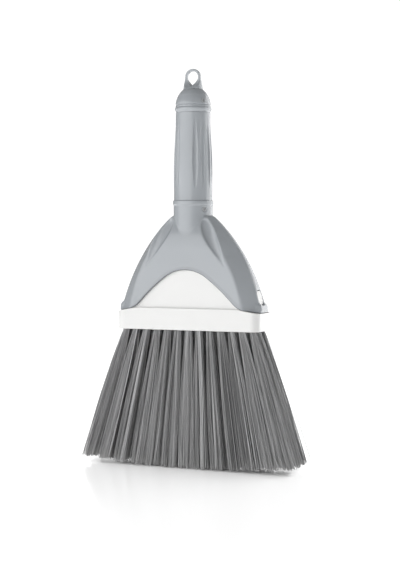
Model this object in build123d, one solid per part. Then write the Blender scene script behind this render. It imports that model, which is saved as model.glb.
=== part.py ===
from build123d import *
import os
from math import asin, atan2, cos, hypot, radians, sin, sqrt, tan

# Short-handled hand broom: a flared head of leaning bristle tufts, a two-piece head
# (block and shell), a fluted hollow grip, an end cap and a hanging eye that turns.
#
# Millimetres.  The origin is on the floor under the middle of the bristles, +Z runs
# up the handle, X runs along the head and the front face looks towards -Y.

# Bristle field
bristle_height = 127.3       # underside of the block above the floor
tuft_radius = 3.1            # a tuft where it leaves its hole
hole_clearance = 0.1         # between a tuft and the wall of its hole
hole_depth = 10.5
row_spacing = 10.5           # front row to middle row to back row
tuft_pitch = 10.6            # along a row
tufts_in_row = 13
end_lean = 16.0              # degrees, outward lean of the last tuft of a row
row_lean = 2.5               # degrees, lean of the front and back rows
tuft_gap = 0.4               # between neighbouring tufts at their tips
anchor_side_gap = 0.7        # flat wire anchor to the wall of its hole
anchor_thickness = 0.6
anchor_height = 1.5
anchor_clearance = 0.1

# Tuft block
block_end = 7.4              # last tuft of a row to the end of the block
block_side = 7.8             # outer rows to the front and back of the block
block_corner = 7.75
block_edge = 0.8             # small rounding of the lower edge
band_height = 16.7           # visible band at the ends of the block
crown_wall = 2.5             # the two arched plates that stand up inside the shell
crown_overlap = 8.0          # how far the plates run behind the rim of the arch
crown_rib = 2.5
crown_rib_spacing = 24.0
crown_rib_drop = 12.9        # top of a rib below the crown of the arch
block_root = 1.0             # how far the crown and the latches run down into the band
latch_thickness = 2.2
latch_width = 12.0
latch_recess = 0.4           # of the latch's pad below the flank
latch_height = 20.0

# Head shell
wall = 2.2
fit_clearance = 0.3          # between the block and the inside of the shell
head_height = 89.0           # foot of the shell to its shoulder
foot_step = 1.3              # foot of the shell inside the end of the block
flank_radius = 143.0         # the bowed flanks
shoulder_ledge = 1.7         # shoulder beyond the side of the neck
panel_lap = 0.5              # front panel beyond the block, at the foot
panel_draft = 1.0            # front panel further out, at the knee
shoulder_half_depth = 9.5
knee_radius = 49.5           # where the front panel bends back to the shoulder
shoulder_band = 3.5          # slanting band between the ridge and the flank
full_band = 13.0
band_run = 36.5              # below the shoulder, where the band reaches its full width
shoulder_edge = 1.5          # half the depth of the narrow flat along the flank
foot_edge = 10.0
edge_growth = 2.5            # power by which the flat widens towards the foot
arch_height = 38.7           # crown of the arch above the foot
arch_crown_angle = 36.0      # degrees from upright, where the crown arc meets the leg arcs
arch_leg_angle = 50.4        # degrees from upright, where a leg arc meets the foot
foot_length = 19.0           # underside of a foot, along X
foot_rise = 3.36             # inner end of the underside above its outer end
foot_flare = 5.0             # radius where the leg turns into the foot
bead_height = 6.5
bead_proud = 1.4
bead_width = 4.0
window_height = 13.3
window_sill = 7.2            # above the foot
window_width = 11.0
window_corner = 4.5
valley_radius = 8.5
valley_depth = 3.0
valley_top_inset = 1.0       # upper point inside the side of the neck
valley_top_drop = 4.0        # and below the shoulder
valley_foot_inset = 4.4      # lower point inside the ridge
valley_foot_drop = 45.5

# Neck, on the shell
neck_wall = 2.4
neck_length = 13.8           # shoulder to the rim that the grip seats on
neck_sink = 28.0             # how far the tube runs down into the fan
collar_proud = 0.6
collar_height = 4.2

# Grip
grip_length = 80.7
grip_foot_radius = 17.6
grip_belly_radius = 17.8
grip_top_radius = 15.95
grip_belly_height = 31.0
grip_waist_band = 4.7        # straight stretch under the cap
grip_spigot_wall = 2.5
spigot_clearance = 0.1
neck_seat = 2.1              # ledge that the neck's rim bears on
neck_spigot_length = 22.0
cap_seat = 2.35              # ledge under the cap's edge
cap_spigot_wall = 2.8
cap_spigot_room = 1.3        # end of the spigot to the inside of the dome
flute_count = 6              # on each side of the grip
flute_pitch = 24.0           # degrees
flute_start = 10.5           # above the foot of the grip
flute_end = 2.2              # below its top
flute_depth = 0.9
flute_radius = 3.5

# End cap
cap_height = 21.5
cap_wall = 2.4
cap_bead_proud = 0.8
cap_bead_height = 3.4
cap_bead_level = 1.9         # lower side of the bead above the grip's ledge
cap_groove_depth = 0.5
cap_groove_rise = 1.9        # top of the bead to the groove
dome_rise = 1.5              # groove to the foot of the dome
dome_radius = 20.2           # of the dome's outline
dome_shelf = 0.2             # flat top of the dome beyond the eye's foot
dome_wall = 5.2              # solid top of the dome, where the eye turns
cap_edge_gap = 0.2

# Hanging eye
running_fit = 0.06           # stem in the dome
end_play = 0.3               # above and below the dome's wall
eye_height = 18.9
eye_base_radius = 9.0
eye_pinch = 0.55             # waist of the eye inside its foot
eye_waist_height = 3.8
eye_top_radius = 7.7
eye_plate = 3.2
eye_flare_height = 9.5       # the plate thickens below this height
eye_foot_depth = 16.0
eye_web = 2.2
eye_tip_height = 2.2         # point of the teardrop above the eye's base
eye_point_radius = 0.8
eye_round = 0.5              # of every edge above the foot
stem_radius = 3.0
stem_tail = 2.6              # stem below the dome's wall
washer_lip = 3.5             # washer beyond the stem
washer_thickness = 0.9
washer_groove = 0.6
washer_clearance = 0.05

# Screws
screw_azimuth = 60.0         # degrees round the handle from the front
screw_head_radius = 2.2
screw_head_depth = 1.3
screw_shank_radius = 1.25
screw_length = 6.4
screw_clearance = 0.05
screw_inset = 0.3
recess_length = 2.6
recess_width = 0.6
recess_depth = 0.7
cap_screw_level = 10.6       # above the cap's edge
neck_screw_drop = 8.2        # below the neck's rim

# Sizes that follow from the ones above
tuft_hole_radius = tuft_radius + hole_clearance
anchor_length = 2 * (tuft_hole_radius - anchor_side_gap)
row_reach = (tufts_in_row - 1) / 2 * tuft_pitch
block_length = 2 * (row_reach + block_end)
block_depth = 2 * (row_spacing + block_side)
foot_half_width = block_length / 2 - foot_step
foot_half_depth = block_depth / 2 + panel_lap
body_half_depth = foot_half_depth + panel_draft
arch_half_width = foot_half_width - foot_length
neck_spigot_radius = grip_foot_radius - neck_seat
neck_radius = neck_spigot_radius + spigot_clearance + neck_wall
shoulder_half_width = neck_radius + shoulder_ledge
grip_bore = neck_spigot_radius - grip_spigot_wall
grip_waist_height = grip_length - grip_waist_band
flute_length = grip_length - flute_start - flute_end
cap_spigot_radius = grip_top_radius - cap_seat
cap_spigot_bore = cap_spigot_radius - cap_spigot_wall
cap_spigot_length = cap_height - dome_wall - cap_spigot_room
cap_radius = cap_spigot_radius + spigot_clearance + cap_wall
cap_groove_level = cap_bead_level + cap_bead_height + cap_groove_rise
dome_level = cap_groove_level + dome_rise
dome_top_radius = eye_base_radius + dome_shelf
eye_waist_radius = eye_base_radius - eye_pinch
washer_radius = stem_radius + washer_lip

# Levels
block_bottom = bristle_height
foot_level = block_bottom + band_height
shoulder_level = foot_level + head_height
arch_top = foot_level + arch_height
rim_level = shoulder_level + neck_length
grip_top = rim_level + grip_length
cap_top = grip_top + cap_height
eye_base = cap_top + end_play
eye_top = eye_base + eye_height
knee_level = shoulder_level - sqrt(
    knee_radius ** 2 - (knee_radius - body_half_depth + shoulder_half_depth) ** 2)
margin = 5.0                 # how far a cutting solid runs past what it cuts


# ---------------------------------------------------------------- small helpers
def at_height(sketch, level):
    """A flat sketch, lifted to a level."""
    return Pos(0, 0, level) * sketch


def plate_xz(outline, half_depth):
    """An outline drawn in X and Z, as a plate that reaches half_depth to the front and back."""
    return extrude(Plane.XZ * make_face(outline), amount=half_depth, both=True)


def outward_arc(start, end, radius):
    """Arc of a given radius between two points in X and Z, bowed away from the handle's axis."""
    dx, dz = end[0] - start[0], end[1] - start[1]
    chord = hypot(dx, dz)
    bow = radius - sqrt(radius ** 2 - chord ** 2 / 4)
    middle = ((start[0] + end[0]) / 2 + bow * abs(dz) / chord,
              (start[1] + end[1]) / 2 + bow * abs(dx) / chord)
    return ThreePointArc(start, middle, end)


def ring_of(piece, angles):
    """Copies of a piece turned about the handle."""
    return [Rot(0, 0, angle) * piece for angle in angles]


# ---------------------------------------------------------------- tufts
def row_layout():
    """(row name, Y at the root, X positions at the root), front to back."""
    places = [i * tuft_pitch - row_reach for i in range(tufts_in_row)]
    return [("front", -row_spacing, places), ("middle", 0.0, places), ("back", row_spacing, places)]


def tuft_lean(x, y):
    """Sideways shift of a tuft for each millimetre of drop, in X and in Y."""
    return tan(radians(end_lean * x / row_reach)), tan(radians(row_lean)) * y / row_spacing


def tuft_drop(x):
    """Height of a tuft below the block: all tips are trimmed on one shallow arc."""
    return bristle_height * cos(radians(end_lean * x / row_reach))


def tip_half_sizes():
    """Half the width and half the depth of a tuft's tip, so that neighbours just clear."""
    previous, last = row_layout()[0][2][-2:]
    spread = [x + tuft_lean(x, 0)[0] * tuft_drop(x) for x in (previous, last)]
    depth = row_spacing + tan(radians(row_lean)) * tuft_drop(last)
    return (spread[1] - spread[0] - tuft_gap) / 2, (depth - tuft_gap) / 2


def along_tuft(x, y, sketch, drop):
    """A sketch centred on a tuft's axis, a given drop below the block."""
    slope_x, slope_y = tuft_lean(x, y)
    return Pos(x + slope_x * drop, y + slope_y * drop, block_bottom - drop) * sketch


def make_tuft(x, y):
    half_width, half_depth = tip_half_sizes()
    seat = hole_depth - anchor_height - 2 * anchor_clearance
    stub = loft([along_tuft(x, y, Circle(tuft_radius), -seat),
                 along_tuft(x, y, Circle(tuft_radius), 0)])
    spray = loft([along_tuft(x, y, Circle(tuft_radius), 0),
                  along_tuft(x, y, Ellipse(half_width, half_depth), tuft_drop(x))])
    return stub + spray


def make_hole(x, y):
    return loft([along_tuft(x, y, Circle(tuft_hole_radius), -hole_depth),
                 along_tuft(x, y, Circle(tuft_hole_radius), margin)])


def make_anchor(x, y):
    slope_x, slope_y = tuft_lean(x, y)
    drop = -(hole_depth - anchor_clearance - anchor_height / 2)
    strip = Box(anchor_length, anchor_thickness, anchor_height)
    return Pos(x + slope_x * drop, y + slope_y * drop, block_bottom - drop) * strip


# ---------------------------------------------------------------- shape of the fan
def flank(level):
    """Half the width of the shell at a level: a bowed arc from the shoulder to the foot."""
    dx = foot_half_width - shoulder_half_width
    dz = head_height
    chord = hypot(dx, dz)
    back = sqrt(flank_radius ** 2 - chord ** 2 / 4)
    centre_x = (foot_half_width + shoulder_half_width) / 2 - back * dz / chord
    centre_z = (foot_level + shoulder_level) / 2 - back * dx / chord
    return centre_x + sqrt(flank_radius ** 2 - (level - centre_z) ** 2)


def fan_depth(level):
    """Half the depth of the shell at a level."""
    if level >= knee_level:
        return body_half_depth - knee_radius + sqrt(knee_radius ** 2 - (level - knee_level) ** 2)
    share = (knee_level - level) / (knee_level - foot_level)
    return body_half_depth + (foot_half_depth - body_half_depth) * share


def fan_section(level, inset):
    """Eight-sided section: flat front and back, flat ends, slanting bands between them."""
    share = (shoulder_level - level) / head_height
    spread = min(1.0, (shoulder_level - level) / band_run)
    band = shoulder_band + (full_band - shoulder_band) * spread
    edge = shoulder_edge + (foot_edge - shoulder_edge) * share ** edge_growth
    width = flank(level)
    depth = fan_depth(level)
    tilt = atan2(band, depth - edge)
    crest = width - band - inset * tan(radians(45) - tilt / 2)
    side = edge - inset * tan(tilt / 2)
    width = width - inset
    depth = depth - inset
    corners = [(width, -side), (width, side), (crest, depth), (-crest, depth),
               (-width, side), (-width, -side), (-crest, -depth), (crest, -depth)]
    return at_height(make_face(Polyline(corners, close=True)), level)


def fan_solid(inset, bottom, top):
    """The fan between two levels, set in by a wall or a clearance."""
    steps = 6
    levels = [bottom + (top - bottom) * i / (steps - 1) for i in range(steps)]
    return loft([fan_section(level, inset) for level in levels])


def arch_radii():
    """Radii of the crown and leg arcs, from the arch's half width and rise."""
    turn, end = radians(arch_crown_angle), radians(arch_leg_angle)
    rise = arch_height - foot_rise
    across, up = sin(end) - sin(turn), cos(turn) - cos(end)
    crown_across, crown_up = sin(turn), 1 - cos(turn)
    scale = crown_across * up - crown_up * across
    return ((arch_half_width * up - rise * across) / scale,
            (crown_across * rise - crown_up * arch_half_width) / scale)


def arch_leg(offset):
    """Points of one leg of the arch, grown outwards by an offset: crown, joint, middle, foot."""
    inner_crown, inner_leg = arch_radii()
    crown_radius = inner_crown + offset
    leg_radius = inner_leg + offset
    crown_centre = arch_top - inner_crown
    turn, end = radians(arch_crown_angle), radians(arch_leg_angle)
    centre_x = -(inner_leg - inner_crown) * sin(turn)
    centre_z = crown_centre - (inner_leg - inner_crown) * cos(turn)
    mid = (turn + end) / 2
    return [(crown_radius * sin(turn / 2), crown_centre + crown_radius * cos(turn / 2)),
            (crown_radius * sin(turn), crown_centre + crown_radius * cos(turn)),
            (centre_x + leg_radius * sin(mid), centre_z + leg_radius * cos(mid)),
            (centre_x + leg_radius * sin(end), centre_z + leg_radius * cos(end))]


def arch_outline(offset, foot_points):
    """The arch, closed below through foot_points (given for the right, inner to outer)."""
    on_crown, joint, on_leg, foot = arch_leg(offset)
    top = (0, arch_top + offset)
    right = [ThreePointArc(top, on_crown, joint), ThreePointArc(joint, on_leg, foot),
             Polyline([foot] + foot_points)]
    left = [mirror(edge, about=Plane.YZ) for edge in right]
    last = foot_points[-1]
    base = Line(last, (-last[0], last[1]))
    return Wire([edge for line in right + left + [base] for edge in line.edges()])


def foot_line(x):
    """Level of the sloping underside of a foot, from the end of the arch outwards."""
    return foot_level + foot_rise * (foot_half_width - x) / foot_length


def opening_below_shell():
    """What is open below the shell: the arch and the space under the sloping feet."""
    reach = foot_half_width + margin
    outline = arch_outline(0, [(reach, foot_line(reach)), (reach, foot_level - band_height)])
    face = make_face(outline)
    corners = [v for v in face.vertices() if abs(abs(v.X) - arch_half_width) < 0.01]
    face = fillet(corners, foot_flare)
    return extrude(Plane.XZ * face, amount=body_half_depth + margin, both=True)


# ---------------------------------------------------------------- head shell
def make_valley(extra):
    """A pointed hollow beside the neck, as a spindle that dips into the front panel."""
    radius = valley_radius + extra
    ends = []
    top = shoulder_level - valley_top_drop
    foot = shoulder_level - valley_foot_drop
    foot_x = flank(foot) - full_band - valley_foot_inset
    for x, level in ((neck_radius - valley_top_inset, top), (foot_x, foot)):
        ends.append(Vector(x, -fan_depth(level) - valley_radius + valley_depth, level))
    axis = ends[1] - ends[0]
    half = axis.length / 2 + extra
    bow = ThreePointArc((-half, 0), (0, radius), (half, 0))
    spindle = revolve(make_face(Wire([bow, Line((half, 0), (-half, 0))])), Axis.X)
    middle = (ends[0] + ends[1]) * 0.5
    return Plane(origin=middle, x_dir=axis, z_dir=Vector(0, 1, 0).cross(axis)) * spindle


def four_valleys(extra):
    one = make_valley(extra)
    pair = [one, mirror(one, about=Plane.YZ)]
    return pair + [mirror(valley, about=Plane.XZ) for valley in pair]


def foot_bead():
    """Rounded bead across the end of a foot."""
    centre_x = foot_half_width + bead_proud - bead_width / 2
    profile = Pos(centre_x, foot_level + bead_height / 2) * SlotOverall(bead_height, bead_width, 90)
    return extrude(Plane.XZ * profile, amount=foot_edge, both=True)


def screw_axis(level, azimuth):
    """Placement of a screw: its local +X points inwards at the handle's axis."""
    return Pos(0, 0, level) * Rot(0, 0, azimuth - 90) * Rot(0, 0, 180)


def make_head_shell():
    shell = fan_solid(0, foot_level - margin, shoulder_level)
    neck = Pos(0, 0, shoulder_level - neck_sink) * Cylinder(
        neck_radius, neck_sink + neck_length, align=(Align.CENTER, Align.CENTER, Align.MIN))
    collar = Pos(0, 0, rim_level - collar_height / 2) * Cylinder(
        neck_radius + collar_proud, collar_height)
    collar = fillet(collar.edges().filter_by(GeomType.CIRCLE), collar_proud * 0.9)
    shell = shell - four_valleys(0) + neck + collar
    bore_bottom = rim_level - neck_spigot_length - spigot_clearance
    bore = Pos(0, 0, bore_bottom) * Cylinder(
        neck_spigot_radius + spigot_clearance, rim_level - bore_bottom + margin,
        align=(Align.CENTER, Align.CENTER, Align.MIN))
    cavity = fan_solid(wall, foot_level - 2 * margin, shoulder_level - margin)
    cavity = cavity - four_valleys(wall)
    passage = Pos(0, 0, knee_level) * Cylinder(
        neck_spigot_radius - wall, bore_bottom - knee_level + margin,
        align=(Align.CENTER, Align.CENTER, Align.MIN))
    shell = shell - cavity - bore - passage
    for side in (1, -1):
        bead = foot_bead()
        shell = shell + (bead if side > 0 else mirror(bead, about=Plane.YZ))
    shell = shell - opening_below_shell()
    window = window_prism(0, shoulder_half_width)
    shell = shell - window - mirror(window, about=Plane.YZ)
    for azimuth in (screw_azimuth, screw_azimuth + 180):
        shell = shell - screw_axis(rim_level - neck_screw_drop, azimuth) * screw_cutter(neck_radius)
    return shell


# ---------------------------------------------------------------- tuft block
def window_prism(clearance, start):
    """The rounded window in the end of the shell, less a clearance, run out along +X."""
    outline = RectangleRounded(window_width - 2 * clearance, window_height - 2 * clearance,
                               window_corner - clearance)
    middle = foot_level + window_sill + window_height / 2
    prism = extrude(Plane.YZ * outline, amount=foot_half_width + margin - start)
    return Pos(start, 0, middle) * prism


def make_latch():
    """Snap tongue inside the end of the shell, with a pad that fills the window."""
    low = foot_level - block_root
    high = foot_level + latch_height
    inset = wall + fit_clearance
    tongue_back = flank(high) - inset - latch_thickness
    points = [(flank(low), low), (flank(high), high), (tongue_back, high),
              (flank(low) - inset - latch_thickness, low)]
    tongue = plate_xz(Polyline(points, close=True), latch_width / 2)
    tongue = tongue & fan_solid(inset, low, high)
    pad = window_prism(fit_clearance, tongue_back) & fan_solid(latch_recess, low, high)
    return tongue + pad


def make_tuft_block():
    inner_x, inner_level = arch_half_width, foot_level + foot_rise
    plan = RectangleRounded(block_length, block_depth, block_corner)
    band = extrude(at_height(plan, block_bottom), amount=inner_level - block_bottom)
    band = fillet(band.faces().sort_by(Axis.Z)[0].edges(), block_edge)
    reach = block_length / 2 + margin
    above = inner_level + margin
    top_line = [(inner_x, inner_level), (reach, foot_line(reach)), (reach, above),
                (-reach, above), (-reach, foot_line(reach)), (-inner_x, inner_level)]
    band = band - plate_xz(Polyline(top_line, close=True), block_depth)
    inset = wall + fit_clearance
    plate_top = arch_top + crown_overlap
    stand = fan_solid(inset, foot_level - block_root, plate_top + margin)
    pocket = fan_solid(inset + crown_wall, inner_level, plate_top + 2 * margin)
    foot = arch_leg(crown_overlap)[3]
    low = foot_level - block_root / 2
    plate = plate_xz(arch_outline(crown_overlap, [(foot[0], low)]), body_half_depth)
    stand = stand - four_valleys(inset)
    crown = (stand & plate) - pocket
    ribs = [Pos(x, 0, 0) * rib_solid() for x in (-crown_rib_spacing, 0, crown_rib_spacing)]
    block = band + crown
    for rib in ribs:
        block = block + (rib & stand & plate)
    latch = make_latch()
    block = block + latch + mirror(latch, about=Plane.YZ)
    for name, y, positions in row_layout():
        for x in positions:
            block = block - make_hole(x, y)
    return block


def rib_solid():
    """Cross rib between the two arched plates."""
    bottom = foot_level + foot_rise - block_root
    top = arch_top - crown_rib_drop
    return Pos(0, 0, (bottom + top) / 2) * Box(crown_rib, 2 * body_half_depth, top - bottom)


# ---------------------------------------------------------------- grip
def grip_radius(level):
    """Radius of the grip: a soft belly that narrows to the cap."""
    height = level - rim_level
    if height < grip_belly_height:
        share = height / grip_belly_height
        return grip_foot_radius + (grip_belly_radius - grip_foot_radius) * share
    share = min(1.0, (height - grip_belly_height) / (grip_waist_height - grip_belly_height))
    ease = share * share * (3 - 2 * share)
    return grip_belly_radius + (grip_top_radius - grip_belly_radius) * ease


def make_flute():
    """A long shallow groove with pointed ends, on the +X side."""
    low = rim_level + flute_start
    high = low + flute_length
    offset = flute_radius - flute_depth
    start = Vector(grip_radius(low) + offset, 0, low)
    end = Vector(grip_radius(high) + offset, 0, high)
    axis = end - start
    half = axis.length / 2
    bow = ThreePointArc((-half, offset), (0, flute_radius), (half, offset))
    base = Polyline([(half, offset), (half, 0), (-half, 0), (-half, offset)])
    barrel = revolve(make_face(Wire([bow] + list(base.edges()))), Axis.X)
    middle = (start + end) * 0.5
    return Plane(origin=middle, x_dir=axis, z_dir=Vector(0, 1, 0).cross(axis)) * barrel


def make_grip():
    waist = rim_level + grip_waist_height
    belly = rim_level + grip_belly_height
    spigot_bottom = rim_level - neck_spigot_length
    spigot_top = grip_top + cap_spigot_length
    neck_bore_step = grip_top - wall
    side = Spline([(grip_foot_radius, rim_level), (grip_belly_radius, belly),
                   ((grip_belly_radius + grip_top_radius) / 2, (belly + waist) / 2),
                   (grip_top_radius, waist)], tangents=[(0, 1), (0, 1)])
    rest = Polyline([(grip_top_radius, waist), (grip_top_radius, grip_top),
                     (cap_spigot_radius, grip_top), (cap_spigot_radius, spigot_top),
                     (cap_spigot_bore, spigot_top), (cap_spigot_bore, neck_bore_step),
                     (grip_bore, neck_bore_step - wall), (grip_bore, spigot_bottom),
                     (neck_spigot_radius, spigot_bottom), (neck_spigot_radius, rim_level),
                     (grip_foot_radius, rim_level)])
    grip = revolve(Plane.XZ * make_face(Wire(list(side.edges()) + list(rest.edges()))), Axis.Z)
    flute = make_flute()
    angles = [(i - (flute_count - 1) / 2) * flute_pitch for i in range(flute_count)]
    for cut in ring_of(flute, angles + [angle + 180 for angle in angles]):
        grip = grip - cut
    for azimuth in (screw_azimuth, screw_azimuth + 180):
        for level in (rim_level - neck_screw_drop, grip_top + cap_screw_level):
            grip = grip - screw_axis(level, azimuth) * pilot_cutter()
    return grip


# ---------------------------------------------------------------- end cap
def make_end_cap():
    bottom = grip_top + cap_edge_gap
    bead_low = grip_top + cap_bead_level
    bead_high = bead_low + cap_bead_height
    groove = grip_top + cap_groove_level
    dome = grip_top + dome_level
    outline = [(cap_radius - cap_groove_depth, bottom), (cap_radius, bead_low)]
    skirt = Polyline([(cap_spigot_radius + spigot_clearance, bottom)] + outline)
    bead_tip = (cap_radius + cap_bead_proud, (bead_low + bead_high) / 2)
    bead = ThreePointArc((cap_radius, bead_low), bead_tip, (cap_radius, bead_high))
    neck = Polyline([(cap_radius, bead_high), (cap_radius, groove - cap_groove_depth),
                     (cap_radius - cap_groove_depth, groove),
                     (cap_radius, groove + cap_groove_depth), (cap_radius, dome)])
    arc = outward_arc((cap_radius, dome), (dome_top_radius, cap_top), dome_radius)
    bore = stem_radius + running_fit
    inside = cap_top - dome_wall
    inner = Polyline([(dome_top_radius, cap_top), (bore, cap_top), (bore, inside),
                      (cap_spigot_radius + spigot_clearance, inside),
                      (cap_spigot_radius + spigot_clearance, bottom)])
    edges = [edge for line in (skirt, bead, neck, arc, inner) for edge in line.edges()]
    cap = revolve(Plane.XZ * make_face(Wire(edges)), Axis.Z)
    for azimuth in (screw_azimuth, screw_azimuth + 180):
        cap = cap - screw_axis(grip_top + cap_screw_level, azimuth) * screw_cutter(cap_radius)
    return cap


# ---------------------------------------------------------------- hanging eye
def make_hanging_eye():
    crown = eye_top - eye_top_radius
    waist = eye_base + eye_waist_height
    turn, half_way = radians(20), radians(55)
    shoulder = (eye_top_radius * cos(turn), crown + eye_top_radius * sin(turn))
    high = (eye_top_radius * cos(half_way), crown + eye_top_radius * sin(half_way))
    top = (0, eye_top)
    outer = [Line((0, eye_base), (eye_base_radius, eye_base)),
             Spline([(eye_base_radius, eye_base), (eye_waist_radius, waist), shoulder]),
             ThreePointArc(shoulder, high, top), Line(top, (0, eye_base))]
    body = revolve(Plane.XZ * make_face(Wire([e for line in outer for e in line.edges()])), Axis.Z)
    flare = eye_base + eye_flare_height
    half = eye_plate / 2
    wide = eye_foot_depth / 2
    side = [Line((-wide, eye_base), (wide, eye_base)),
            Spline([(wide, eye_base), (half, flare)], tangents=[(-0.6, 1), (0, 1)]),
            Polyline([(half, flare), (half, eye_top + margin), (-half, eye_top + margin),
                      (-half, flare)]),
            Spline([(-half, flare), (-wide, eye_base)], tangents=[(0, -1), (-0.6, -1)])]
    slab = extrude(Plane.YZ * make_face(Wire([e for line in side for e in line.edges()])),
                   amount=eye_base_radius + margin, both=True)
    eye = (body & slab) - eye_hole()
    sharp = [edge for edge in eye.edges() if edge.center().Z > eye_base + eye_round / 2]
    eye = fillet(sharp, eye_round)
    stem_bottom = cap_top - dome_wall - stem_tail
    stem = Pos(0, 0, stem_bottom) * Cylinder(
        stem_radius, eye_base - stem_bottom, align=(Align.CENTER, Align.CENTER, Align.MIN))
    groove_top = cap_top - dome_wall - end_play
    ring = Pos(0, 0, groove_top - washer_thickness / 2) * (
        Cylinder(stem_radius + margin, washer_thickness)
        - Cylinder(stem_radius - washer_groove, washer_thickness))
    return eye + (stem - ring)


def eye_hole():
    """Teardrop hole with its point down."""
    radius = eye_top_radius - eye_web
    centre = eye_top - eye_top_radius
    point = eye_base + eye_tip_height + eye_point_radius
    lean = asin((radius - eye_point_radius) / (centre - point))
    big = (radius * cos(lean), centre - radius * sin(lean))
    small = (eye_point_radius * cos(lean), point - eye_point_radius * sin(lean))
    edges = [ThreePointArc((-big[0], big[1]), (0, centre + radius), big), Line(big, small),
             ThreePointArc(small, (0, point - eye_point_radius), (-small[0], small[1])),
             Line((-small[0], small[1]), (-big[0], big[1]))]
    return plate_xz(Wire(edges), eye_base_radius + margin)


def make_eye_washer():
    top = cap_top - dome_wall - end_play
    hole = stem_radius - washer_groove + washer_clearance
    washer = Pos(0, 0, top - washer_thickness / 2) * (
        Cylinder(washer_radius, washer_thickness - washer_clearance)
        - Cylinder(hole, washer_thickness))
    return washer


# ---------------------------------------------------------------- screws
def screw_body(clearance, surface):
    """A countersunk screw along local X, from just under the surface inwards."""
    head = -(surface - screw_inset)
    neck = head + screw_head_depth
    tail = head + screw_length
    points = [(head, 0), (head, screw_head_radius + clearance),
              (neck, screw_shank_radius + clearance),
              (tail, screw_shank_radius + clearance), (tail, 0)]
    return revolve(make_face(Polyline(points, close=True)), Axis.X)


def screw_cutter(surface):
    """Room for a screw, open to the outside."""
    mouth = Pos(-(surface - screw_inset) - margin / 2, 0, 0) * Rot(0, 90, 0) * Cylinder(
        screw_head_radius + screw_clearance, margin)
    return screw_body(screw_clearance, surface) + mouth


def pilot_cutter():
    reach = max(neck_radius, cap_radius)
    return Pos(-reach / 2, 0, 0) * Rot(0, 90, 0) * Cylinder(
        screw_shank_radius + screw_clearance, reach)


def make_screw(surface):
    screw = screw_body(0, surface)
    head = -(surface - screw_inset)
    for turn in (0, 90):
        slot = Pos(head, 0, 0) * Rot(turn, 0, 0) * Box(
            2 * recess_depth, recess_length, recess_width)
        screw = screw - slot
    return screw


def make_screw_pair(surface, level):
    screw = make_screw(surface)
    return Compound(children=[screw_axis(level, azimuth) * screw
                              for azimuth in (screw_azimuth, screw_azimuth + 180)])


# ---------------------------------------------------------------- all nodes
def all_nodes():
    nodes = {"hanging_eye": make_hanging_eye(),
             "eye_washer": make_eye_washer(),
             "end_cap": make_end_cap(),
             "cap_screws": make_screw_pair(cap_radius, grip_top + cap_screw_level),
             "grip": make_grip(),
             "neck_screws": make_screw_pair(neck_radius, rim_level - neck_screw_drop),
             "head_shell": make_head_shell(),
             "tuft_block": make_tuft_block()}
    anchors = []
    for name, y, positions in row_layout():
        for number, x in enumerate(positions, start=1):
            nodes[f"tuft_{name}_{number:02d}"] = make_tuft(x, y)
            anchors.append(make_anchor(x, y))
    nodes["tuft_anchors"] = Compound(children=anchors)
    return nodes


os.makedirs("parts", exist_ok=True)
for node_name, solid in all_nodes().items():
    export_step(solid, f"parts/{node_name}.step")
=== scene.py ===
import math

import bpy
import numpy as np
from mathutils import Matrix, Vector


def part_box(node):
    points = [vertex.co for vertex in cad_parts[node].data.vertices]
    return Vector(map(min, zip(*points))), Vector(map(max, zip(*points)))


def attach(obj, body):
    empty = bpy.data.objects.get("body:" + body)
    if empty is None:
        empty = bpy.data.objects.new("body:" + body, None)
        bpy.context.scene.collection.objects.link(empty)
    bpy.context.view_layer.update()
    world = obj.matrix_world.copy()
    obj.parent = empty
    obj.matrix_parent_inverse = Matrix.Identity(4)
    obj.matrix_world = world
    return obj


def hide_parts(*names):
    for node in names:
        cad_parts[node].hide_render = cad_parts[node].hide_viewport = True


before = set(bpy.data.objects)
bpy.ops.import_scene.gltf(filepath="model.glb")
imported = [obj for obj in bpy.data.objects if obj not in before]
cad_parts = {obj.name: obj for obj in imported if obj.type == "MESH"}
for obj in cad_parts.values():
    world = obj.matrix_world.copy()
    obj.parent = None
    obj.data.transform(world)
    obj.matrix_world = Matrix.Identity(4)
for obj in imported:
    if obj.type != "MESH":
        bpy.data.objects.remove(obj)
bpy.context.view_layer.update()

# Short-handled hand broom.  Lengths are in metres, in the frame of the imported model:
# +Z up the handle, X along the head, the front face towards -Y.
MM = 0.001
scene = bpy.context.scene

# ---------------------------------------------------------------- camera
camera_azimuth = math.radians(23.5)      # round the broom, from the front towards +X
camera_distance = 1.2326
camera_height = 0.2161
camera_pitch = math.radians(2.213)       # downwards
camera_pan = math.radians(0.2974)        # to the right
camera_lens = 83.81                      # with a 36 mm film on the tall side


def make_camera():
    """The camera that the broom is seen from."""
    lens = bpy.data.cameras.new("camera")
    lens.lens = camera_lens
    lens.sensor_width = 36.0
    lens.sensor_fit = "AUTO"
    lens.clip_start, lens.clip_end = 0.05, 50.0
    camera = bpy.data.objects.new("camera", lens)
    scene.collection.objects.link(camera)
    camera.location = (camera_distance * math.sin(camera_azimuth),
                       -camera_distance * math.cos(camera_azimuth), camera_height)
    camera.rotation_euler = (math.pi / 2 - camera_pitch, 0.0, camera_azimuth - camera_pan)
    scene.camera = camera


# ---------------------------------------------------------------- small helpers
def srgb(code):
    """Linear colour of an sRGB hex value such as 'c0c3c6'."""
    channels = [int(code[i:i + 2], 16) / 255 for i in (0, 2, 4)]
    return [c / 12.92 if c <= 0.04045 else ((c + 0.055) / 1.055) ** 2.4 for c in channels] + [1.0]


def add(tree, kind, links=None, **settings):
    """A node of a kind; links maps an input's name or number to a value or to a socket."""
    node = tree.nodes.new(kind)
    for name, value in settings.items():
        setattr(node, name, value)
    for key, value in (links or {}).items():
        if isinstance(value, bpy.types.NodeSocket):
            tree.links.new(value, node.inputs[key])
        else:
            node.inputs[key].default_value = value
    return node


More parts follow.
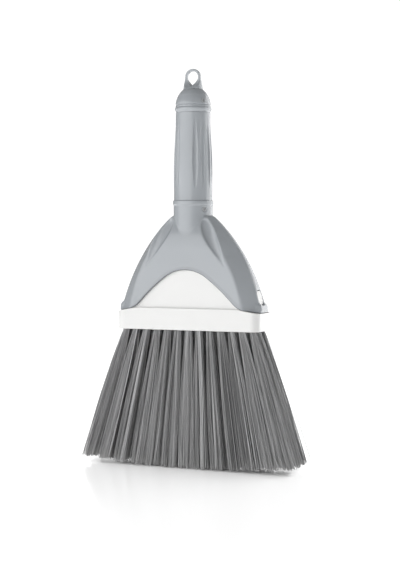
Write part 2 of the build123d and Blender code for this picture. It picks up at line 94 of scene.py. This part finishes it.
def new_material(name):
    """A material with an empty tree, and its tree and output node."""
    material = bpy.data.materials.new(name)
    material.use_nodes = True
    tree = material.node_tree
    tree.nodes.clear()
    return material, tree, add(tree, "ShaderNodeOutputMaterial")


def new_object(name, mesh, material):
    """An object at the origin with a mesh and its one material."""
    piece = bpy.data.objects.new(name, mesh)
    scene.collection.objects.link(piece)
    piece.data.materials.clear()
    piece.data.materials.append(material)
    return piece


def give_material(node, material):
    """A CAD node keeps its shape and gets a new finish."""
    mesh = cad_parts[node].data
    mesh.materials.clear()
    mesh.materials.append(material)


# ---------------------------------------------------------------- materials
# painted shade: dark grey laid along the rim of the arch and under the feet, where the rounded rim
# and the gap below the feet fall in shade
painted_rim_shade_colour = "55585b"
cloud_size = 36.0 * MM        # cloudiness that the melt leaves
cloud_gloss = (0.02, 0.03)    # how far it takes the roughness down and up
peel_size = 1.1 * MM          # drawn coarser than the real 0.3 mm so that it shows
peel_height = 0.03 * MM
bristle_dark = "3a3a3b"
bristle_light = "cbcbcc"
scuffed_tip = "a9a9a8"
scuff_start = 0.9             # along the filament
scuff_share = 0.35
zinc = "b4b6b8"
grain_width = 2.5 * MM        # drawn coarser than the real 0.1 mm so that it shows
grain_height = 0.02 * MM


def moulded_plastic(name, light, dark, roughness):
    """Injection-moulded polypropylene: an even colour with a faint cloudiness from the melt,
    a soft gloss, a very fine orange-peel texture, and painted shade along the rim of the arch."""
    material, tree, output = new_material(name)
    place = add(tree, "ShaderNodeTexCoord").outputs["Object"]
    cloud = add(tree, "ShaderNodeTexNoise",
                {"Vector": place, "Scale": 1 / cloud_size, "Detail": 3.0, "Roughness": 0.5})
    colour = add(tree, "ShaderNodeMix", {0: cloud.outputs["Fac"], 6: srgb(light), 7: srgb(dark)},
                 data_type="RGBA")
    # painted shade: this attribute darkens the colour along the rim of the arch and under the feet
    painted_rim_shade = add(tree, "ShaderNodeAttribute", attribute_name="painted_rim_shade")
    colour = add(tree, "ShaderNodeMix", {0: painted_rim_shade.outputs["Fac"], 6: colour.outputs[2],
                                         7: srgb(painted_rim_shade_colour)}, data_type="RGBA")
    gloss = add(tree, "ShaderNodeMapRange",
                {"Value": cloud.outputs["Fac"], "From Min": 0.3, "From Max": 0.7,
                 "To Min": roughness - cloud_gloss[0], "To Max": roughness + cloud_gloss[1]})
    peel = add(tree, "ShaderNodeTexNoise",
               {"Vector": place, "Scale": 1 / peel_size, "Detail": 2.0, "Roughness": 0.6})
    bump = add(tree, "ShaderNodeBump", {"Height": peel.outputs["Fac"], "Strength": 0.15,
                                        "Distance": peel_height})
    shader = add(tree, "ShaderNodeBsdfPrincipled",
                 {"Base Color": colour.outputs[2], "Roughness": gloss.outputs[0], "IOR": 1.49,
                  "Normal": bump.outputs[0]})
    tree.links.new(shader.outputs[0], output.inputs["Surface"])
    return material


def extruded_bristle():
    """Extruded polypropylene filament: grey, satin, with strands a little lighter or darker than
    each other and paler, scuffed tips."""
    material, tree, output = new_material("extruded_bristle")
    strand = add(tree, "ShaderNodeAttribute", attribute_name="strand")
    along = add(tree, "ShaderNodeAttribute", attribute_name="along")
    shade = add(tree, "ShaderNodeValToRGB", {"Fac": strand.outputs["Fac"]})
    shade.color_ramp.elements[0].color = srgb(bristle_dark)
    shade.color_ramp.elements[1].color = srgb(bristle_light)
    tip = add(tree, "ShaderNodeMapRange",
              {"Value": along.outputs["Fac"], "From Min": scuff_start, "From Max": 1.0,
               "To Min": 0.0, "To Max": scuff_share})
    colour = add(tree, "ShaderNodeMix", {0: tip.outputs[0], 6: shade.outputs["Color"],
                                         7: srgb(scuffed_tip)}, data_type="RGBA")
    shader = add(tree, "ShaderNodeBsdfPrincipled",
                 {"Base Color": colour.outputs[2], "Roughness": 0.42, "IOR": 1.5})
    tree.links.new(shader.outputs[0], output.inputs["Surface"])
    return material


def zinc_steel(name, stretch):
    """Zinc-plated steel: a fine drawn grain along one direction, and a slightly uneven shine."""
    material, tree, output = new_material(name)
    place = add(tree, "ShaderNodeTexCoord").outputs["Object"]
    grain_place = add(tree, "ShaderNodeMapping", {"Vector": place, "Scale": stretch})
    grain = add(tree, "ShaderNodeTexNoise",
                {"Vector": grain_place.outputs[0], "Scale": 1 / grain_width, "Detail": 2.0})
    gloss = add(tree, "ShaderNodeMapRange",
                {"Value": grain.outputs["Fac"], "To Min": 0.22, "To Max": 0.42})
    bump = add(tree, "ShaderNodeBump", {"Height": grain.outputs["Fac"], "Strength": 0.2,
                                        "Distance": grain_height})
    shader = add(tree, "ShaderNodeBsdfPrincipled",
                 {"Base Color": srgb(zinc), "Metallic": 1.0, "Roughness": gloss.outputs[0],
                  "Normal": bump.outputs[0]})
    tree.links.new(shader.outputs[0], output.inputs["Surface"])
    return material


# ---------------------------------------------------------------- head shell
# The shell is a smooth surface where a field is zero.  The field is worked out in millimetres
# and is negative inside the wall.
cell = 0.78                   # spacing of the grid that the surface is drawn from
surface_steps = 4             # that pull its points onto the exact surface
probe = 0.01                  # half the distance over which a slope is measured
least_slope = 0.05
arc_limit = 0.98              # share of its radius up to which an arc's formula is followed
wall = 2.2
ridge_round = 1.6             # between the front panel and the slanting bands
shoulder_round = 2.0
rim_round = 1.5
inner_round = 0.3
mouth_round = 0.5             # of the neck's open top
hole_round = 0.5
window_round = 0.8
collar_round = 0.55
bead_round = 3.2
collar_blend = 0.4
bead_blend = 2.5
neck_blend = 0.7
valley_blend = 1.2
lip_height = 0.5              # raised line along the rim of the arch
lip_width = 2.4
painted_rim_shade_width = 1.0              # painted shade along the rim of the arch and under the feet
painted_rim_shade_share = 0.8
below_feet = 5.0              # that far the fan's field goes on

flank_radius = 143.0
shoulder_ledge = 1.7
neck_length = 13.8
neck_radius = 18.0
neck_sink = 28.0
collar_proud = 0.6
collar_height = 4.2
shoulder_half_depth = 9.5
body_half_depth = 19.8
foot_half_depth = 18.8
knee_radius = 49.5
shoulder_band = 3.5
full_band = 13.0
band_run = 36.5
shoulder_edge = 1.5
foot_edge = 10.0
edge_growth = 2.5
arch_height = 38.7
arch_crown_angle = math.radians(36.0)
arch_leg_angle = math.radians(50.4)
foot_length = 19.0
foot_rise = 3.36
foot_flare = 5.0
bead_proud = 1.4
bead_width = 6.5
bead_height = 8.0
valley_half_width = 6.0
valley_depth = 4.0
valley_blunt = 0.45           # powers that shape its blunt top and its pointed foot
valley_point = 1.15
valley_slack = 0.6            # keeps its stretched distance from overshooting
valley_top_inset = 1.5
valley_top_drop = 3.0
valley_foot_inset = 4.4
valley_foot_drop = 45.5
window_width = 11.0
window_height = 13.3
window_sill = 7.2
window_corner = 4.5
screw_drop = 8.2
screw_hole = 2.3
screw_direction = math.radians(-30.0)

shell_low, shell_high = [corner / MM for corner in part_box("head_shell")]
foot_level = shell_low.z
rim_level = shell_high.z
shoulder_level = rim_level - neck_length
foot_half_width = shell_high.x - bead_proud
shoulder_half_width = neck_radius + shoulder_ledge
knee_level = shoulder_level - math.sqrt(
    knee_radius ** 2 - (knee_radius - body_half_depth + shoulder_half_depth) ** 2)
arch_half_width = foot_half_width - foot_length
arch_top = foot_level + arch_height
valley_widest = valley_blunt / (valley_blunt + valley_point)
valley_peak = valley_widest ** valley_blunt * (1 - valley_widest) ** valley_point


def soft_max(a, b, blend):
    """The larger of two fields, with a rounded change from one to the other."""
    share = np.clip(0.5 + 0.5 * (a - b) / blend, 0.0, 1.0)
    return b + (a - b) * share + blend * share * (1.0 - share)


def soft_min(a, b, blend):
    """The smaller of two fields, rounded as soft_max."""
    return -soft_max(-a, -b, blend)


def flank(level):
    """Half the width of the shell at a level, on a bowed arc, and its slope."""
    dx = foot_half_width - shoulder_half_width
    dz = shoulder_level - foot_level
    chord = math.hypot(dx, dz)
    back = math.sqrt(flank_radius ** 2 - chord ** 2 / 4)
    centre_x = (foot_half_width + shoulder_half_width) / 2 - back * dz / chord
    centre_z = (foot_level + shoulder_level) / 2 - back * dx / chord
    rise = np.clip(level - centre_z, -arc_limit * flank_radius, arc_limit * flank_radius)
    reach = np.sqrt(flank_radius ** 2 - rise ** 2)
    return centre_x + reach, -rise / reach


def panel(level):
    """Half the depth of the shell at a level: a drafted panel and a knee above it."""
    over = np.clip(level - knee_level, 0.0, arc_limit * knee_radius)
    knee = body_half_depth - knee_radius + np.sqrt(knee_radius ** 2 - over ** 2)
    share = (knee_level - level) / (knee_level - foot_level)
    draft = body_half_depth + (foot_half_depth - body_half_depth) * share
    return np.where(level >= knee_level, knee, draft)


def fan_field(x, y, z):
    """The fan: flat front and back, narrow end flats and slanting bands between them."""
    below = np.clip(shoulder_level - z, 0.0, shoulder_level - foot_level + below_feet)
    share = below / (shoulder_level - foot_level)
    spread = np.minimum(1.0, below / band_run)
    band = shoulder_band + (full_band - shoulder_band) * spread
    edge = shoulder_edge + (foot_edge - shoulder_edge) * share ** edge_growth
    width, slope = flank(z)
    depth = panel(z)
    tilt = np.hypot(1.0, slope)
    side = (np.abs(x) - width) / tilt
    front = np.abs(y) - depth
    across = np.hypot(band, depth - edge)
    slant = ((np.abs(x) - width + band) * (depth - edge) + (np.abs(y) - depth) * band) / across
    slant = slant / np.hypot(1.0, slope * (depth - edge) / across)
    fan = soft_max(soft_max(side, front, ridge_round), slant, ridge_round)
    return soft_max(fan, z - shoulder_level, shoulder_round)


def valley_field(x, y, z):
    """Pointed hollow beside the neck, widest near its top, as a distance in the panel's plane."""
    foot = shoulder_level - valley_foot_drop
    foot_x = float(flank(foot)[0]) - full_band - valley_foot_inset
    top = shoulder_level - valley_top_drop
    top_x = neck_radius - valley_top_inset
    run_x, run_z = foot_x - top_x, foot - top
    length = math.hypot(run_x, run_z)
    px, pz = np.abs(x) - top_x, z - top
    along = (px * run_x + pz * run_z) / length
    across = (px * run_z - pz * run_x) / length
    out = (np.abs(y) - panel(z)) * valley_half_width / valley_depth
    share = np.clip(along / length, 0.0, 1.0)
    outline = share ** valley_blunt * (1.0 - share) ** valley_point
    width = valley_half_width * outline / valley_peak
    past = along - np.clip(along, 0.0, length)
    return valley_slack * (np.sqrt(across ** 2 + out ** 2 + past ** 2) - width)


def arch_field(x, z):
    """Distance above the arch and the feet: negative in the open space below them."""
    rise = arch_height - foot_rise
    turn, end = arch_crown_angle, arch_leg_angle
    across, up = math.sin(end) - math.sin(turn), math.cos(turn) - math.cos(end)
    crown_across, crown_up = math.sin(turn), 1 - math.cos(turn)
    scale = crown_across * up - crown_up * across
    crown = (arch_half_width * up - rise * across) / scale
    leg = (crown_across * rise - crown_up * arch_half_width) / scale
    crown_z = arch_top - crown
    leg_x = -(leg - crown) * math.sin(turn)
    leg_z = crown_z - (leg - crown) * math.cos(turn)
    on_crown = np.arctan2(np.abs(x), z - crown_z) < turn
    arch = np.where(on_crown, np.hypot(x, z - crown_z) - crown,
                    np.hypot(np.abs(x) - leg_x, z - leg_z) - leg)
    feet = z - (foot_level + foot_rise * (foot_half_width - np.abs(x)) / foot_length)
    return soft_min(arch, feet, foot_flare)


def rounded_box(parts, round_off):
    """Distance to a box from the distances past each of its sides, with rounded edges."""
    past = [part + round_off for part in parts]
    outside = np.sqrt(sum(np.maximum(part, 0.0) ** 2 for part in past))
    inside = np.minimum(np.maximum.reduce(past), 0.0)
    return outside + inside - round_off


def shell_field(x, y, z):
    """The whole moulding: its outer form, hollowed to a wall, with its openings."""
    fan = soft_max(fan_field(x, y, z), -valley_field(x, y, z), valley_blend)
    radius = np.hypot(x, y)
    neck = np.maximum(radius - neck_radius, shoulder_level - neck_sink - z)
    collar = rounded_box([radius - neck_radius - collar_proud,
                          np.abs(z - rim_level + collar_height / 2) - collar_height / 2],
                         collar_round)
    outer = soft_min(soft_min(fan, neck, neck_blend), collar, collar_blend)
    bead = rounded_box([np.abs(np.abs(x) - foot_half_width - bead_proud + bead_width / 2)
                        - bead_width / 2,
                        np.abs(z - foot_level - bead_height / 2) - bead_height / 2,
                        np.abs(y) - foot_edge], bead_round)
    outer = soft_min(outer, bead, bead_blend)
    arch = arch_field(x, z)
    lip = lip_height * np.exp(-(np.maximum(arch, 0.0) / lip_width) ** 4)
    shell = soft_max(outer - lip, -(outer + wall), inner_round)
    shell = soft_max(shell, -arch, rim_round)
    shell = soft_max(shell, z - rim_level, mouth_round)
    middle = foot_level + window_sill + window_height / 2
    window = rounded_box([np.abs(y) - window_width / 2, np.abs(z - middle) - window_height / 2],
                         window_corner)
    window = np.maximum(window, foot_half_width / 2 - np.abs(x))
    shell = soft_max(shell, -window, window_round)
    dx, dy = math.cos(screw_direction), math.sin(screw_direction)
    hole = np.hypot(x * dy - y * dx, z - rim_level + screw_drop) - screw_hole
    return soft_max(shell, -hole, hole_round)


def draw_surface(field, low, high, step):
    """Vertices and outward quads of the surface where a field is zero (surface nets), pulled
    onto the exact surface."""
    axes = [np.arange(a, b + step, step) for a, b in zip(low, high)]
    value = field(*np.meshgrid(*axes, indexing="ij"))
    inside = value < 0
    corners = [(i, j, k) for i in (0, 1) for j in (0, 1) for k in (0, 1)]
    size = [n - 1 for n in value.shape]

    def corner(grid, at):
        return grid[at[0]:at[0] + size[0], at[1]:at[1] + size[1], at[2]:at[2] + size[2]]

    count = sum(corner(inside, at).astype(int) for at in corners)
    mixed = (count > 0) & (count < 8)
    number = np.full(mixed.shape, -1)
    number[mixed] = np.arange(mixed.sum())
    where = np.argwhere(mixed)
    total = np.zeros((len(where), 3))
    hits = np.zeros(len(where))
    for a in corners:
        for axis in range(3):
            if a[axis]:
                continue
            b = tuple(c + (i == axis) for i, c in enumerate(a))
            va, vb = corner(value, a)[mixed], corner(value, b)[mixed]
            cross = (va < 0) != (vb < 0)
            share = np.where(cross, va / np.where(cross, va - vb, 1.0), 0.0)
            point = where + np.array(a)
            point = point + share[:, None] * np.eye(3)[axis]
            total += point * cross[:, None]
            hits += cross
    points = total / hits[:, None] * step + np.array(low)
    for _ in range(surface_steps):
        points = pull_to_surface(field, points)
    faces = []
    for axis in range(3):
        u, v = (axis + 1) % 3, (axis + 2) % 3
        start = np.moveaxis(inside, axis, 0)
        change = start[1:] != start[:-1]
        change = np.moveaxis(change, 0, axis)
        at = np.argwhere(change)
        at = at[(at[:, u] > 0) & (at[:, v] > 0)]
        leaving = inside[tuple(at.T)]
        ring = []
        for du, dv in ((1, 1), (0, 1), (0, 0), (1, 0)):
            cell_at = at.copy()
            cell_at[:, u] -= du
            cell_at[:, v] -= dv
            ring.append(number[tuple(cell_at.T)])
        quad = np.stack(ring, axis=1)
        quad[~leaving] = quad[~leaving][:, ::-1]
        faces.append(quad)
    return points, np.concatenate(faces)


def pull_to_surface(field, points):
    """One Newton step of points towards the zero of a field."""
    value = field(*points.T)
    slope = np.stack([(field(*(points + probe * e).T) - field(*(points - probe * e).T)) / (2 * probe)
                      for e in np.eye(3)], axis=1)
    steepness = np.maximum((slope ** 2).sum(1), least_slope)
    step = np.clip(-value / steepness, -cell, cell)
    return points + step[:, None] * slope


def make_head_shell(material):
    """The shell's mesh, with painted shade along its rim as an attribute."""
    margin = 2 * cell
    low = [-shell_high.x - margin, -shell_high.y - margin, foot_level - margin]
    high = [shell_high.x + margin, shell_high.y + margin, rim_level + margin]
    points, faces = draw_surface(shell_field, low, high, cell)
    mesh = bpy.data.meshes.new("moulded_head_shell")
    mesh.from_pydata((points * MM).tolist(), [], faces.tolist())
    mesh.update()
    mesh.shade_smooth()
    # painted shade: strongest at the rim of the arch and the undersides of the feet, fading within
    # about a millimetre
    above = np.maximum(arch_field(points[:, 0], points[:, 2]), 0.0)
    painted_rim_shade = painted_rim_shade_share * np.exp(-(above / painted_rim_shade_width) ** 2)
    mesh.attributes.new("painted_rim_shade", "FLOAT", "POINT").data.foreach_set("value", painted_rim_shade)
    shell = new_object("moulded_head_shell", mesh, material)
    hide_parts("head_shell")
    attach(shell, "broom")
    return shell


# ---------------------------------------------------------------- bristles
filaments_per_tuft = 170
filament_radius = 0.21 * MM
filament_points = 9
radius_spread = 0.15          # share by which filaments are thicker or thinner
seat_turn = 2.39996           # golden angle, which spreads the seats evenly over a hole
seat_jitter = 0.35            # radians
root_overlap = 2.0 * MM       # of a filament inside its hole
tuft_swell = 5.0 * MM         # how quickly the filaments fan out below the block
tip_fill = 0.92               # of the room that a tuft has at its tip
wisp_size = 0.55              # of the tuft's half width, as the next two
wisp_offset = 0.17            # keeps the wisps from meeting in the tuft's middle
wisp_drift = 0.22
wisp_gather = 0.35            # how far the filaments of a wisp lean together
wisp_seed = 0.37
wisp_bow = 7.0 * MM
wisp_shade = 0.45             # share of a filament's shade that its wisp has in common
own_bow = 2.4 * MM
tip_curl = 0.9 * MM
curl_power = 5.0              # keeps the curl to the tip
near_stray = 0.12             # of the tuft's half width, for every filament
far_stray = 0.5               # for the few that stray most
stray_power = 6.0
trim_range = 4.5 * MM         # between the longest and the shortest filament
trim_power = 2.0
seed_step = 37                # between one tuft's random numbers and the next one's
level_tolerance = 0.05 * MM


def bristle_tree(material):
    """Geometry nodes that fill one tuft with separate filaments from its root to its tip."""
    tree = bpy.data.node_groups.new("tuft_filaments", "GeometryNodeTree")
    for name, kind in (("Root", "NodeSocketVector"), ("Tip", "NodeSocketVector"),
                       ("Root Radius", "NodeSocketFloat"), ("Tip Half Width", "NodeSocketFloat"),
                       ("Tip Half Depth", "NodeSocketFloat"), ("Filaments", "NodeSocketInt"),
                       ("Filament Radius", "NodeSocketFloat"), ("Seed", "NodeSocketInt")):
        tree.interface.new_socket(name, in_out="INPUT", socket_type=kind)
    tree.interface.new_socket("Mesh", in_out="OUTPUT", socket_type="NodeSocketGeometry")
    given = add(tree, "NodeGroupInput").outputs

    def maths(operation, *values):
        return add(tree, "ShaderNodeMath", dict(enumerate(values)), operation=operation).outputs[0]

    def vectors(operation, *values):
        node = add(tree, "ShaderNodeVectorMath", dict(enumerate(values)), operation=operation)
        return node.outputs[0]

    def scaled(vector, factor):
        node = add(tree, "ShaderNodeVectorMath", {0: vector, "Scale": factor}, operation="SCALE")
        return node.outputs[0]

    def combined(x, y, z=0.0):
        return add(tree, "ShaderNodeCombineXYZ", {0: x, 1: y, 2: z}).outputs[0]

    line = add(tree, "GeometryNodeCurvePrimitiveLine", {"End": (0.0, 0.0, 1.0)})
    line = add(tree, "GeometryNodeResampleCurve", {"Curve": line.outputs[0],
                                                   "Count": filament_points})
    points = add(tree, "GeometryNodePoints", {"Count": given["Filaments"]})
    spread = add(tree, "GeometryNodeInstanceOnPoints", {"Points": points.outputs[0],
                                                        "Instance": line.outputs[0]})
    curves = add(tree, "GeometryNodeRealizeInstances", {"Geometry": spread.outputs[0]}).outputs[0]

    number = add(tree, "GeometryNodeCurveOfPoint").outputs["Curve Index"]
    along = add(tree, "GeometryNodeSplineParameter").outputs["Factor"]

    def draw(low, high, offset):
        """One random number for each filament."""
        seed = maths("ADD", given["Seed"], float(offset))
        node = add(tree, "FunctionNodeRandomValue", {2: low, 3: high, "ID": number,
                                                     "Seed": seed}, data_type="FLOAT")
        return node.outputs[1]

    # seats spread evenly over the root, in a sunflower pattern of unit radius
    turn = maths("ADD", maths("MULTIPLY", number, seat_turn),
                 draw(-seat_jitter, seat_jitter, 1))
    reach = maths("SQRT", maths("DIVIDE", maths("ADD", number, 0.5), given["Filaments"]))
    seat = combined(maths("MULTIPLY", maths("COSINE", turn), reach),
                    maths("MULTIPLY", maths("SINE", turn), reach))
    # filaments that stand in the same patch of the root lean together as a wisp
    patch = vectors("SNAP", vectors("ADD", seat, (0.0, wisp_offset, 0.0)),
                    (wisp_size, wisp_size, 1.0))
    centre = vectors("ADD", patch, (wisp_size / 2, wisp_size / 2 - wisp_offset, 0.0))
    patch_seed = vectors("ADD", patch, combined(maths("MULTIPLY", given["Seed"], wisp_seed), 0.0))
    patch_draw = add(tree, "ShaderNodeTexWhiteNoise", {"Vector": patch_seed})
    patch_shift = vectors("SUBTRACT", patch_draw.outputs["Color"], (0.5, 0.5, 0.5))
    gathered = add(tree, "ShaderNodeMix", {0: wisp_gather, 4: seat, 5: centre},
                   data_type="VECTOR").outputs[1]
    gathered = vectors("ADD", gathered, scaled(patch_shift, wisp_drift))
    far = maths("MULTIPLY", maths("POWER", draw(0.0, 1.0, 3), stray_power), far_stray)
    stray = scaled(combined(draw(-1.0, 1.0, 4), draw(-1.0, 1.0, 5)),
                   maths("ADD", far, near_stray))
    end = vectors("ADD", gathered, stray)
    end = vectors("MULTIPLY", end, combined(given["Tip Half Width"], given["Tip Half Depth"]))
    end = vectors("ADD", end, given["Tip"])
    trim = maths("MULTIPLY", maths("POWER", draw(0.0, 1.0, 6), trim_power), trim_range)
    end = vectors("ADD", end, combined(0.0, 0.0, trim))
    start = vectors("ADD", given["Root"], scaled(seat, given["Root Radius"]))
    place = add(tree, "ShaderNodeMix", {0: along, 4: start, 5: end}, data_type="VECTOR").outputs[1]
    # the tuft swells below the block, a wisp shares one slow bow, and each filament has a
    # smaller bow of its own and a curl at the tip
    bulge = maths("MULTIPLY", along, maths("SUBTRACT", 1.0, along))
    swell = scaled(seat, maths("MULTIPLY", bulge, tuft_swell))
    bow = scaled(patch_shift, maths("MULTIPLY", bulge, wisp_bow))
    own = combined(draw(-1.0, 1.0, 7), draw(-1.0, 1.0, 8))
    bend = scaled(own, maths("MULTIPLY", bulge, own_bow))
    curl = scaled(own, maths("MULTIPLY", maths("POWER", along, curl_power), tip_curl))
    shift = vectors("ADD", vectors("ADD", swell, bow), vectors("ADD", bend, curl))
    place = vectors("ADD", place, vectors("MULTIPLY", shift, (1.0, 1.0, 0.0)))
    shaped = add(tree, "GeometryNodeSetPosition", {"Geometry": curves, "Position": place})
    thickness = maths("MULTIPLY", given["Filament Radius"],
                      draw(1 - radius_spread, 1 + radius_spread, 9))
    shade = maths("ADD", maths("MULTIPLY", patch_draw.outputs["Value"], wisp_shade),
                  maths("MULTIPLY", draw(0.0, 1.0, 10), 1 - wisp_shade))
    marked = add(tree, "GeometryNodeStoreNamedAttribute",
                 {"Geometry": shaped.outputs[0], "Name": "strand", "Value": shade},
                 data_type="FLOAT", domain="POINT")
    marked = add(tree, "GeometryNodeStoreNamedAttribute",
                 {"Geometry": marked.outputs[0], "Name": "along", "Value": along},
                 data_type="FLOAT", domain="POINT")
    ring = add(tree, "GeometryNodeCurvePrimitiveCircle", {"Resolution": 4, "Radius": 1.0})
    tubes = add(tree, "GeometryNodeCurveToMesh", {"Curve": marked.outputs[0],
                                                  "Profile Curve": ring.outputs[0],
                                                  "Scale": thickness, "Fill Caps": True})
    smooth = add(tree, "GeometryNodeSetShadeSmooth", {0: tubes.outputs[0]})
    real = add(tree, "GeometryNodeRealizeInstances", {0: smooth.outputs[0]})
    done = add(tree, "GeometryNodeSetMaterial", {"Geometry": real.outputs[0],
                                                 "Material": material})
    add(tree, "NodeGroupOutput", {0: done.outputs[0]})
    return tree


def tuft_ends(node, block_bottom):
    """Centre and half sizes of a tuft where it leaves the block, and at its tip."""
    co = np.array([v.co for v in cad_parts[node].data.vertices])
    ends = []
    for level in (block_bottom, co[:, 2].min()):
        ring = co[np.abs(co[:, 2] - level) < level_tolerance]
        low, high = ring.min(0), ring.max(0)
        ends.append(((low + high) / 2, (high - low) / 2))
    return ends


def grow(tree, name, values):
    """The plain mesh that a geometry nodes tree makes with its inputs set."""
    sockets = {item.name: item.identifier for item in tree.interface.items_tree
               if item.in_out == "INPUT"}
    carrier = bpy.data.objects.new("carrier", bpy.data.meshes.new("carrier"))
    scene.collection.objects.link(carrier)
    grower = carrier.modifiers.new("filaments", "NODES")
    grower.node_group = tree
    for key, value in values.items():
        grower[sockets[key]] = value
    evaluated = carrier.evaluated_get(bpy.context.evaluated_depsgraph_get())
    mesh = bpy.data.meshes.new_from_object(evaluated)
    mesh.name = name
    bpy.data.objects.remove(carrier)
    return mesh


def make_tufts(material):
    """Each tuft as separate filaments in the place of its solid."""
    tree = bristle_tree(material)
    block_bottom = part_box("tuft_block")[0].z
    names = sorted(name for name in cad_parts
                   if name.startswith("tuft_") and name not in ("tuft_block", "tuft_anchors"))
    for seed, name in enumerate(names, start=1):
        (root, root_half), (tip, tip_half) = tuft_ends(name, block_bottom)
        lean = (tip - root) / (root[2] - tip[2])
        values = {"Root": (root - lean * root_overlap).tolist(), "Tip": tip.tolist(),
                  "Root Radius": float(root_half[0]) - filament_radius,
                  "Tip Half Width": tip_fill * float(tip_half[0]),
                  "Tip Half Depth": tip_fill * float(tip_half[1]),
                  "Filaments": filaments_per_tuft, "Filament Radius": filament_radius,
                  "Seed": seed_step * seed}
        mesh = grow(tree, name + "_filaments", values)
        piece = new_object(name + "_filaments", mesh, material)
        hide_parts(name)
        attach(piece, "broom")


# ---------------------------------------------------------------- floor and light
floor_half_size = 2.1         # ends inside the ring of panels that the floor reflects
floor_gloss = 0.4
floor_roughness = 0.15
room_glow = 0.29
page_glow = 1.1               # seen behind the broom by the camera alone
light_middle = Vector((0.0, 0.0, 0.2))
sun_strength = 1.5
sun_spread = math.radians(30.0)


def make_floor():
    """White glazed board that mirrors the bristle tips faintly."""
    material, tree, output = new_material("white_glazed_board")
    board = add(tree, "ShaderNodeBsdfDiffuse", {"Color": srgb("fbfbfb")})
    glaze = add(tree, "ShaderNodeBsdfGlossy",
                {"Color": srgb("ffffff"), "Roughness": floor_roughness})
    shader = add(tree, "ShaderNodeMixShader", {0: floor_gloss, 1: board.outputs[0],
                                               2: glaze.outputs[0]})
    tree.links.new(shader.outputs[0], output.inputs["Surface"])
    half = floor_half_size
    corners = [(-half, -half, 0), (half, -half, 0), (half, half, 0), (-half, half, 0)]
    mesh = bpy.data.meshes.new("floor")
    mesh.from_pydata(corners, [], [(0, 1, 2, 3)])
    floor = new_object("floor", mesh, material)
    return floor


def make_softbox(name, azimuth, elevation, distance, size, watts):
    """Area light that faces the broom from an azimuth, counted in degrees as the camera's."""
    light = bpy.data.lights.new(name, "AREA")
    light.shape = "RECTANGLE"
    light.size, light.size_y = size
    light.energy = watts
    lamp = bpy.data.objects.new(name, light)
    scene.collection.objects.link(lamp)
    a, e = math.radians(azimuth), math.radians(elevation)
    away = Vector((math.sin(a) * math.cos(e), -math.cos(a) * math.cos(e), math.sin(e)))
    lamp.location = light_middle + away * distance
    lamp.rotation_euler = away.to_track_quat("Z", "Y").to_euler()
    lamp.visible_camera = False
    return lamp


def make_world():
    """A dim room, with a white page behind the broom that only the camera sees."""
    world = bpy.data.worlds.new("studio")
    scene.world = world
    world.use_nodes = True
    tree = world.node_tree
    tree.nodes.clear()
    path = add(tree, "ShaderNodeLightPath")
    glow = add(tree, "ShaderNodeBackground", {"Color": (1, 1, 1, 1), "Strength": room_glow})
    page = add(tree, "ShaderNodeBackground", {"Color": (1, 1, 1, 1), "Strength": page_glow})
    mix = add(tree, "ShaderNodeMixShader", {0: path.outputs["Is Camera Ray"], 1: glow.outputs[0],
                                            2: page.outputs[0]})
    add(tree, "ShaderNodeOutputWorld", {0: mix.outputs[0]})
    scene.view_settings.view_transform = "Standard"
    scene.view_settings.look = "None"
    scene.view_settings.exposure = 0.0


def make_lights(floor):
    """Two softboxes for the broom, and an overhead light and four panels for the floor alone."""
    make_softbox("key", azimuth=-28, elevation=8, distance=1.6, size=(2.9, 1.2), watts=24)
    make_softbox("side", azimuth=142, elevation=6, distance=1.5, size=(1.9, 1.6), watts=23)
    sun = bpy.data.lights.new("overhead", "SUN")
    sun.energy = sun_strength
    sun.angle = sun_spread
    overhead = bpy.data.objects.new("overhead", sun)
    scene.collection.objects.link(overhead)
    floor_lights = [overhead]
    for side in (0, 90, 180, 270):
        floor_lights.append(make_softbox(f"backdrop_{side}", azimuth=side, elevation=20,
                                         distance=2.2, size=(5.0, 2.0), watts=32))
    floor_only = bpy.data.collections.new("floor_only")
    floor_only.objects.link(floor)
    for light in floor_lights:
        light.light_linking.receiver_collection = floor_only


# ---------------------------------------------------------------- the whole broom
make_camera()
make_world()
make_lights(make_floor())

grey = moulded_plastic("moulded_grey_polypropylene", "999da1", "93979b", roughness=0.17)
white = moulded_plastic("moulded_white_polypropylene", "d2d2d1", "d1d1d0", roughness=0.3)
bristle = extruded_bristle()
screw_steel = zinc_steel("zinc_plated_screw_steel", stretch=(1.0, 1.0, 0.2))
wire_steel = zinc_steel("drawn_anchor_wire", stretch=(0.1, 1.0, 1.0))

for node in ("end_cap", "grip", "hanging_eye"):
    give_material(node, grey)
give_material("tuft_block", white)
for node in ("cap_screws", "neck_screws", "eye_washer"):
    give_material(node, screw_steel)
give_material("tuft_anchors", wire_steel)

make_head_shell(grey)
make_tufts(bristle)
